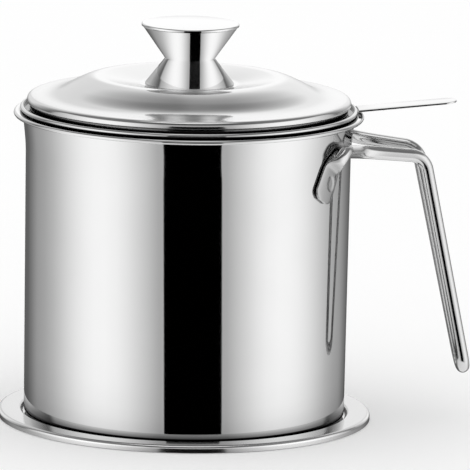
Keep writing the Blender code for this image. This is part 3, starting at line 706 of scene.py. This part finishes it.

# A finish: colour, least roughness and its spread, scale and strength of the grain,
# how much of its light a mirrored look at it keeps, as painted shade,
# and how far the painted crevice shade reaches
Finish = namedtuple(
    "Finish",
    "colour roughness spread grain relief mirrored reach",
    defaults=(900.0, 0.04, 0.70, CREVICE_SHADE_REACH),
)
FINISHES = {
    "polished_steel": Finish((0.805, 0.805, 0.805), 0.035, 0.015),
    "tray_steel": Finish((0.60, 0.60, 0.60), 0.12, 0.05, relief=0.05),
    "cap_steel": Finish((0.85, 0.85, 0.85), 0.035, 0.015),
    "foot_steel": Finish((0.84, 0.84, 0.84), 0.05, 0.02, mirrored=1.0),
    "flare_steel": Finish((0.84, 0.84, 0.84), 0.05, 0.02, mirrored=1.0),
    "rod_steel": Finish((0.76, 0.76, 0.76), 0.13, 0.03, mirrored=0.45),
    "wall_steel": Finish((0.805, 0.805, 0.805), 0.035, 0.015, mirrored=1.0),
    "cover_steel": Finish((0.805, 0.805, 0.805), 0.10, 0.03, mirrored=0.6, reach=GROOVE_SHADE_REACH),
    "rim_steel": Finish((0.805, 0.805, 0.805), 0.05, 0.02, mirrored=0.6, reach=GROOVE_SHADE_REACH),
    "satin_steel": Finish((0.78, 0.78, 0.79), 0.24, 0.08, 1400.0, 0.3),
    "plated_steel": Finish((0.66, 0.67, 0.69), 0.34, 0.10, 1800.0, 0.3),
}
PIECE_FINISHES = {
    "tray_shell": "tray_steel",
    "pot_shell": "wall_steel",
    "handle_rod": "rod_steel",
    "strainer_shell": "rim_steel",
    "strainer_strip": "polished_steel",
    "lid_cover": "cover_steel",
    "knob_foot": "foot_steel",
    "knob_flare": "flare_steel",
    "knob_disc": "cap_steel",
}
NODE_FINISHES = {
    "strainer_screen": "satin_steel",
    "screen_ring": "satin_steel",
    "knob_boss": "plated_steel",
    "screw_washer": "plated_steel",
    "knob_screw": "plated_steel",
}


def steel(name, finish):
    """Steel with a faint cloudiness in its colour, painted shade in gaps and in mirrored looks at it,
    uneven polish and a trace of grain.
    """
    made = bpy.data.materials.new(name)
    made.use_nodes = True
    tree = made.node_tree
    shader = tree.nodes["Principled BSDF"]
    shader.inputs["Metallic"].default_value = 1.0
    cloud = noise(tree, CLOUD_SCALE, CLOUD_DETAIL)
    tint = tree.nodes.new("ShaderNodeValToRGB")
    shades = tint.color_ramp.elements
    shades[0].position, shades[1].position = CLOUD_RANGE
    shades[0].color = (*(part - CLOUD_DEPTH for part in finish.colour), 1.0)
    shades[1].color = (*finish.colour, 1.0)
    # Painted shade: the colour darkens in each crevice and gap, by how open the surface lies
    openness = tree.nodes.new("ShaderNodeAmbientOcclusion")
    openness.samples = OPENNESS_SAMPLES
    openness.inputs["Distance"].default_value = finish.reach
    kept = grey_ramp(tree, openness.outputs["AO"], CREVICE_SHADE_SHARES, 1.0)
    radius, height = object_place(tree)
    outside = eased(tree, radius, *CREVICE_SHADE_START)
    counted = math_node(tree, "MULTIPLY", outside, eased(tree, height, *CREVICE_SHADE_FOOT))
    crevice_shade = mixed(tree, counted, tint.outputs["Color"], kept, "MULTIPLY")
    crevice_shade.node.name = "crevice_shade"
    # Painted shade: a mirrored look at the steel keeps only a share of its colour
    seen = mixed(tree, mirrored_look(tree), crevice_shade, grey(finish.mirrored), "MULTIPLY")
    seen.node.name = "mirrored shade"
    polish = tree.nodes.new("ShaderNodeMapRange")
    polish.inputs["From Min"].default_value, polish.inputs["From Max"].default_value = POLISH_RANGE
    polish.inputs["To Min"].default_value = finish.roughness
    polish.inputs["To Max"].default_value = finish.roughness + finish.spread
    bump = tree.nodes.new("ShaderNodeBump")
    bump.name = "grain"
    bump.inputs["Strength"].default_value = finish.relief
    bump.inputs["Distance"].default_value = GRAIN_HEIGHT
    link(
        tree,
        (cloud, tint.inputs["Fac"]),
        (seen, shader.inputs["Base Color"]),
        (cloud, polish.inputs["Value"]),
        (polish.outputs["Result"], shader.inputs["Roughness"]),
        (noise(tree, finish.grain, GRAIN_DETAIL), bump.inputs["Height"]),
        (bump.outputs["Normal"], shader.inputs["Normal"]),
    )
    return made


def darkened(tree, part, share):
    """Paints shade on a part of the surface, darkening it to a share of its colour."""
    colour = tree.nodes["Principled BSDF"].inputs["Base Color"]
    tree.links.new(mixed(tree, part, colour.links[0].from_socket, grey(share), "MULTIPLY"), colour)


def roughened(tree, part, roughness):
    """Takes a part of the surface to another roughness."""
    polish = tree.nodes["Principled BSDF"].inputs["Roughness"]
    blend = tree.nodes.new("ShaderNodeMapRange")
    blend.inputs["To Max"].default_value = roughness
    link(
        tree,
        (part, blend.inputs["Value"]),
        (polish.links[0].from_socket, blend.inputs["To Min"]),
        (blend.outputs["Result"], polish),
    )


def turned_vector(tree, vector, angle):
    """The vector turned about Z by a fixed or a wired angle."""
    node = tree.nodes.new("ShaderNodeVectorRotate")
    node.rotation_type = "Z_AXIS"
    wire(tree, node.inputs["Angle"], angle)
    tree.links.new(vector, node.inputs["Vector"])
    return node.outputs["Vector"]


# Painted shade on the pressed pads: how much of the rod's colour they keep,
# and the distances from the axis between which they end
PAD_SHADE_SHARE = 0.66
PAD_SHADE_END = (0.0652, 0.0680)


def painted_pad_shade(tree):
    """Paints shade on the pressed pads of the rod."""
    radius, _ = object_place(tree)
    darkened(tree, fading(tree, radius, *PAD_SHADE_END), PAD_SHADE_SHARE)


# Painted shade in the strainer's groove under the lid: how much of its colour the groove keeps,
# and the distances and heights between which it ends
GROOVE_SHADE_SHARE = 0.05
GROOVE_SHADE_END = (0.0636, 0.0643)
GROOVE_SHADE_FOOT = (0.1188, 0.1196)


def painted_groove_shade(tree):
    """Paints shade into the strainer's groove under the lid."""
    radius, height = object_place(tree)
    inside = fading(tree, radius, *GROOVE_SHADE_END)
    groove = math_node(tree, "MULTIPLY", inside, eased(tree, height, *GROOVE_SHADE_FOOT))
    darkened(tree, groove, GROOVE_SHADE_SHARE)


# Roughness of the lid's bare cut edge, and the distances and heights between which it begins
CUT_EDGE_ROUGHNESS = 0.5
CUT_EDGE_START = (0.0619, 0.06215)
CUT_EDGE_TOP = (0.1229, 0.1231)


def bare_edge(tree):
    """Leaves the lid's cut edge rough, and takes the painted crevice shade off it."""
    radius, height = object_place(tree)
    outside = eased(tree, radius, *CUT_EDGE_START)
    edge = math_node(tree, "MULTIPLY", outside, fading(tree, height, *CUT_EDGE_TOP))
    roughened(tree, edge, CUT_EDGE_ROUGHNESS)
    counted = tree.nodes["crevice_shade"].inputs["Factor"]
    rest = math_node(tree, "SUBTRACT", 1.0, edge)
    tree.links.new(math_node(tree, "MULTIPLY", counted.links[0].from_socket, rest), counted)


# The turned cones shade like upright cylinders: radius and lean of each,
# how far their axis stands aside, how far they are turned, and the roughness of a mirrored look at them
FOOT_SHEEN = (0.01263, 0.15)
FLARE_SHEEN = (0.0116, 0.0)
SHEEN_ASIDE = 0.0014
SHEEN_TURN = math.radians(5.5)
SHEEN_MIRRORED_ROUGHNESS = 0.40


def turned_sheen(tree, cylinder, lean):
    """Lets a turned cone shade like a cylinder, with its sheen equally wide at every height."""
    radius, _ = object_place(tree)
    place = tree.nodes.new("ShaderNodeTexCoord")
    axes = tree.nodes.new("ShaderNodeSeparateXYZ")
    facing = tree.nodes.new("ShaderNodeCombineXYZ")
    unit = tree.nodes.new("ShaderNodeVectorMath")
    unit.operation = "NORMALIZE"
    aside = math_node(tree, "SUBTRACT", axes.outputs["X"], SHEEN_ASIDE)
    spread = math_node(tree, "DIVIDE", radius, cylinder)
    link(
        tree,
        (turned_vector(tree, place.outputs["Object"], SHEEN_TURN), axes.inputs["Vector"]),
        (math_node(tree, "MULTIPLY", aside, spread), facing.inputs["X"]),
        (axes.outputs["Y"], facing.inputs["Y"]),
        (math_node(tree, "MULTIPLY", radius, lean), facing.inputs["Z"]),
        (facing.outputs["Vector"], unit.inputs[0]),
    )
    upright = turned_vector(tree, unit.outputs["Vector"], -SHEEN_TURN)
    tree.links.new(upright, tree.nodes["grain"].inputs["Normal"])
    roughened(tree, mirrored_look(tree), SHEEN_MIRRORED_ROUGHNESS)


# How the sheen of the wall turns with its height: at the foot, and for each metre above it
WALL_SHEEN_TURN = -0.011
WALL_SHEEN_TWIST = 0.29


def wall_sheen(tree):
    """Turns the wall's sheen a little with its height."""
    _, height = object_place(tree)
    facing = tree.nodes.new("ShaderNodeNewGeometry")
    twist = math_node(tree, "MULTIPLY", height, WALL_SHEEN_TWIST)
    turn = math_node(tree, "ADD", twist, WALL_SHEEN_TURN)
    normal = turned_vector(tree, facing.outputs["Normal"], turn)
    tree.links.new(normal, tree.nodes["grain"].inputs["Normal"])


# Painted shade on the tray's brim, seen only in the metal: how much of its light the mirrored brim keeps,
# the distances from the axis between which it grows light, and for the painted highlight on the lip,
# those between which the lip begins, and the lip's level
BRIM_SHADE_SHARE = 0.75
BRIM_SHADE_FADE = (0.0630, 0.0728)
LIP_HIGHLIGHT_START = (0.0709, 0.0716)
LIP_HIGHLIGHT_LEVEL = 0.93


def tray_light(tree):
    """Paints shade on the tray's brim near the wall where it is mirrored, and a highlight on its turned
    lip.
    """
    radius, _ = object_place(tree)
    brim = math_node(tree, "MULTIPLY", eased(tree, radius, *BRIM_SHADE_FADE), BRIM_SHADE_SHARE)
    tree.links.new(brim, tree.nodes["mirrored shade"].inputs["B"])
    colour = tree.nodes["Principled BSDF"].inputs["Base Color"]
    lip = eased(tree, radius, *LIP_HIGHLIGHT_START)
    tree.links.new(mixed(tree, lip, colour.links[0].from_socket, grey(LIP_HIGHLIGHT_LEVEL)), colour)


def make_finishes():
    """All finishes, with what is special about some of them."""
    made = {name: steel(name, finish) for name, finish in FINISHES.items()}
    trees = {name: material.node_tree for name, material in made.items()}
    tray_light(trees["tray_steel"])
    painted_pad_shade(trees["rod_steel"])
    painted_groove_shade(trees["rim_steel"])
    bare_edge(trees["cover_steel"])
    wall_sheen(trees["wall_steel"])
    turned_sheen(trees["foot_steel"], *FOOT_SHEEN)
    turned_sheen(trees["flare_steel"], *FLARE_SHEEN)
    return made


# How far the studio is turned round the object
STUDIO_TURN = math.radians(-0.6)
HALF_TURN = 180.0
# Level of the surroundings, seen from the middle of the object, against the angle from the camera's side
SIDE_LEVELS = (
    (0.0, 0.40), (24.0, 0.43), (32.0, 0.59), (40.0, 0.73), (47.0, 0.85), (55.0, 0.95), (65.0, 1.00),
    (74.0, 0.99), (82.0, 0.94), (90.0, 0.85), (98.0, 0.74), (106.0, 0.62), (115.0, 0.50), (126.0, 0.40),
    (138.0, 0.33), (150.0, 0.20), (160.0, 0.12), (HALF_TURN, 0.10),
)
# Level behind the object against the angle from the direction that a level surface mirrors,
# the angles between which it ends, and that direction's height
BACK_LEVELS = (
    (0.0, 0.98), (24.0, 0.97), (29.0, 0.85), (35.0, 0.68), (40.0, 0.57), (47.0, 0.42), (52.0, 0.30),
    (58.0, 0.20), (HALF_TURN, 0.18),
)
BACK_EDGE = (58.0, 66.0)
BACK_HEIGHT = math.radians(10.3)
# The middle of the back, sideways from straight behind the object, how much darker the back is to the left,
# to the right and low down, and the places between which it grows so dark
BACK_SIDE = 0.094
BACK_FADES = (0.26, 0.12, 0.34)
BACK_FADE_LEFT = (-0.11, -0.02)
BACK_FADE_RIGHT = (0.03, 0.14)
BACK_FADE_LOW = (-0.12, 0.15)
# Heights between which the back begins, and angles round the object between which its foot does
RAISED_START = (-0.14, -0.07)
BEHIND_START = (140.0, 152.0)
# Heights between which the sides grow dark overhead, and how much
OVERHEAD_START = (0.40, 0.62)
OVERHEAD_FADE = 0.82
# The light straight overhead and the light from far below: the heights between which it starts or ends,
# and its level
ZENITH_START = (0.93, 0.985)
ZENITH_LEVEL = 0.90
LOWEST_END = (-0.72, -0.62)
LOWEST_LEVEL = 0.90
# The dark card: the height where it is widest, its half angle at the horizon, by how many degrees
# it narrows upwards and downwards for a whole radius of height, and the heights between which it ends
CARD_WIDEST = -0.18
CARD_HALF_ANGLE = 19.6
CARD_NARROWING = 5.8
CARD_LOW_NARROWING = 2.9
CARD_TOP = (0.162, 0.183)
# How much brighter than white all of it is
STUDIO_GAIN = 1.13


def studio_sides(tree, side, away, up, raised):
    """Level of the sides and the dark card, by the angle from the camera's side."""
    degrees = math.degrees(1.0)
    beside = math_node(tree, "ABSOLUTE", side)
    ahead = math_node(tree, "SUBTRACT", math.cos(BACK_HEIGHT), away)
    turn = math_node(tree, "MULTIPLY", math_node(tree, "ARCTAN2", beside, ahead), 2 * degrees)
    around = math_node(tree, "ARCTAN2", beside, math_node(tree, "MULTIPLY", away, -1.0))
    around = math_node(tree, "MULTIPLY", around, degrees)
    low = math_node(tree, "SUBTRACT", 1.0, raised)
    behind = math_node(tree, "MULTIPLY", eased(tree, around, *BEHIND_START), low)
    rest = math_node(tree, "MULTIPLY", behind, math_node(tree, "SUBTRACT", around, turn))
    turn = math_node(tree, "ADD", turn, rest)
    sides = grey_ramp(tree, turn, SIDE_LEVELS, HALF_TURN)
    widest = CARD_WIDEST * (CARD_NARROWING + CARD_LOW_NARROWING)
    low_narrowing = math_node(tree, "MULTIPLY", up, CARD_LOW_NARROWING)
    low_narrowing = math_node(tree, "SUBTRACT", widest, low_narrowing)
    high_narrowing = math_node(tree, "MULTIPLY", up, CARD_NARROWING)
    narrowing = math_node(tree, "MAXIMUM", high_narrowing, low_narrowing)
    clear = math_node(tree, "GREATER_THAN", math_node(tree, "ADD", turn, narrowing), CARD_HALF_ANGLE)
    clear = math_node(tree, "MAXIMUM", clear, eased(tree, up, *CARD_TOP))
    sides = mixed(tree, clear, grey(0.0), sides)
    overhead = math_node(tree, "MULTIPLY", eased(tree, up, *OVERHEAD_START), OVERHEAD_FADE)
    return mixed(tree, overhead, sides, grey(0.0))


def studio_back(tree, side, up, spread):
    """Level of the light behind the object, by the angle from its middle."""
    aside = math_node(tree, "SUBTRACT", side, BACK_SIDE)
    fades = (
        fading(tree, aside, *BACK_FADE_LEFT),
        eased(tree, aside, *BACK_FADE_RIGHT),
        fading(tree, up, *BACK_FADE_LOW),
    )
    kept = 1.0
    for share, amount in zip(fades, BACK_FADES):
        kept = math_node(tree, "SUBTRACT", kept, math_node(tree, "MULTIPLY", share, amount))
    return mixed(tree, kept, grey(0.0), grey_ramp(tree, spread, BACK_LEVELS, HALF_TURN))


def make_studio():
    """White surroundings for camera and floor. Polished metal sees two wide soft lights and a dark card."""
    world = bpy.data.worlds.new("studio")
    bpy.context.scene.world = world
    world.use_nodes = True
    tree = world.node_tree
    background = tree.nodes["Background"]
    place = tree.nodes.new("ShaderNodeTexCoord")
    axes = tree.nodes.new("ShaderNodeSeparateXYZ")
    tree.links.new(turned_vector(tree, place.outputs["Generated"], STUDIO_TURN), axes.inputs["Vector"])
    side, away, up = axes.outputs
    along = math_node(tree, "MULTIPLY", away, math.cos(BACK_HEIGHT))
    raised = math_node(tree, "MULTIPLY", up, math.sin(BACK_HEIGHT))
    cosine = math_node(tree, "MINIMUM", math_node(tree, "ADD", along, raised), 1.0)
    spread = math_node(tree, "MULTIPLY", math_node(tree, "ARCCOSINE", cosine), math.degrees(1.0))
    raised_share = eased(tree, up, *RAISED_START)
    back_share = math_node(tree, "MULTIPLY", raised_share, fading(tree, spread, *BACK_EDGE))
    sides = studio_sides(tree, side, away, up, raised_share)
    seen = mixed(tree, back_share, sides, studio_back(tree, side, up, spread))
    seen = mixed(tree, fading(tree, up, *LOWEST_END), seen, grey(LOWEST_LEVEL))
    seen = mixed(tree, eased(tree, up, *ZENITH_START), seen, grey(ZENITH_LEVEL))
    gain = tree.nodes.new("ShaderNodeVectorMath")
    gain.operation = "SCALE"
    gain.inputs["Scale"].default_value = STUDIO_GAIN
    tree.links.new(seen, gain.inputs[0])
    colour = mixed(tree, mirrored_look(tree), grey(1.0), gain.outputs["Vector"])
    tree.links.new(colour, background.inputs["Color"])
    background.inputs["Strength"].default_value = 1.0


# The floor's circle, and the faint cloudiness of its paper: noise scale and detail, and levels
FLOOR_RADIUS = 9.0
FLOOR_SIDES = 96
PAPER_SCALE = 3.0
PAPER_DETAIL = 2.0
PAPER_LEVELS = (0.985, 1.0)
# Painted shadow round the tray, seen only in the metal: how much of the surroundings a mirrored look
# at the floor still shows, against the distance from the axis
FLOOR_SHADOW_SHARES = (
    (0.075, 0.66), (0.084, 0.78), (0.105, 0.87), (0.127, 0.93), (0.170, 0.98), (0.250, 1.0),
)


def make_floor():
    """A pale floor that keeps the object's shadow. In the metal it only dims the studio near the tray, as a
    painted shadow.
    """
    mesh_data = bmesh.new()
    bmesh.ops.create_circle(mesh_data, cap_ends=True, segments=FLOOR_SIDES, radius=FLOOR_RADIUS)
    floor = add_object("floor", mesh_data)
    made = bpy.data.materials.new("floor_paper")
    made.use_nodes = True
    tree = made.node_tree
    shader = tree.nodes["Principled BSDF"]
    shader.inputs["Roughness"].default_value = 1.0
    shader.inputs["Specular IOR Level"].default_value = 0.0
    tint = tree.nodes.new("ShaderNodeValToRGB")
    for shade, level in zip(tint.color_ramp.elements, PAPER_LEVELS):
        shade.color = grey(level)
    place = tree.nodes.new("ShaderNodeTexCoord")
    distance = tree.nodes.new("ShaderNodeVectorMath")
    distance.operation = "LENGTH"
    mirrored_shadow = grey_ramp(tree, distance.outputs["Value"], FLOOR_SHADOW_SHARES, FLOOR_SHADOW_SHARES[-1][0])
    clear = tree.nodes.new("ShaderNodeBsdfTransparent")
    mix = tree.nodes.new("ShaderNodeMixShader")
    link(
        tree,
        (noise(tree, PAPER_SCALE, PAPER_DETAIL), tint.inputs["Fac"]),
        (tint.outputs["Color"], shader.inputs["Base Color"]),
        (place.outputs["Object"], distance.inputs[0]),
        (mirrored_shadow, clear.inputs["Color"]),
        (mirrored_look(tree), mix.inputs["Fac"]),
        (shader.outputs["BSDF"], mix.inputs[1]),
        (clear.outputs["BSDF"], mix.inputs[2]),
        (mix.outputs["Shader"], tree.nodes["Material Output"].inputs["Surface"]),
    )
    floor.data.materials.append(made)


# Camera: far away, slightly above, turned round the object and leaning a little
CAMERA_TURN = math.radians(5.5)
CAMERA_DISTANCE = 3.0
CAMERA_HEIGHT_ANGLE = 0.17969108
CAMERA_LEAN = 0.01855044
CAMERA_LENS = 595.458
CAMERA_AIM = (0.01858129, 0.07143563)
CAMERA_SENSOR = 36.0
CAMERA_CLIPS = (0.1, 40.0)


def make_camera():
    sight = Vector((0.0, math.cos(CAMERA_HEIGHT_ANGLE), -math.sin(CAMERA_HEIGHT_ANGLE)))
    right = Vector((1.0, 0.0, 0.0))
    up = right.cross(sight)
    place = Vector((CAMERA_AIM[0], 0.0, CAMERA_AIM[1])) - sight * CAMERA_DISTANCE
    cosine = math.cos(CAMERA_LEAN)
    sine = math.sin(CAMERA_LEAN)
    across = right * cosine + up * sine
    upward = up * cosine - right * sine
    matrix = Matrix((across, upward, -sight)).transposed().to_4x4()
    matrix.translation = place
    data = bpy.data.cameras.new("photo_camera")
    data.sensor_width = CAMERA_SENSOR
    data.lens = CAMERA_LENS
    data.clip_start, data.clip_end = CAMERA_CLIPS
    camera = bpy.data.objects.new("photo_camera", data)
    bpy.context.scene.collection.objects.link(camera)
    camera.matrix_world = Matrix.Rotation(-CAMERA_TURN, 4, "Z") @ matrix
    bpy.context.scene.camera = camera


def main():
    finishes = make_finishes()
    pieces = [make_tray(), make_pot_body(), make_handle(), make_strainer_cup(), make_strainer_handle()]
    pieces += [make_lid(), *make_knob()]
    for piece in pieces:
        piece.data.materials.append(finishes[PIECE_FINISHES[piece.name]])
    for name, finish in NODE_FINISHES.items():
        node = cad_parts[name]
        if not node.material_slots:
            node.data.materials.append(finishes[finish])
        for slot in node.material_slots:
            slot.material = finishes[finish]
    make_floor()
    make_studio()
    make_camera()
    bpy.context.scene.view_settings.view_transform = "Standard"


main()
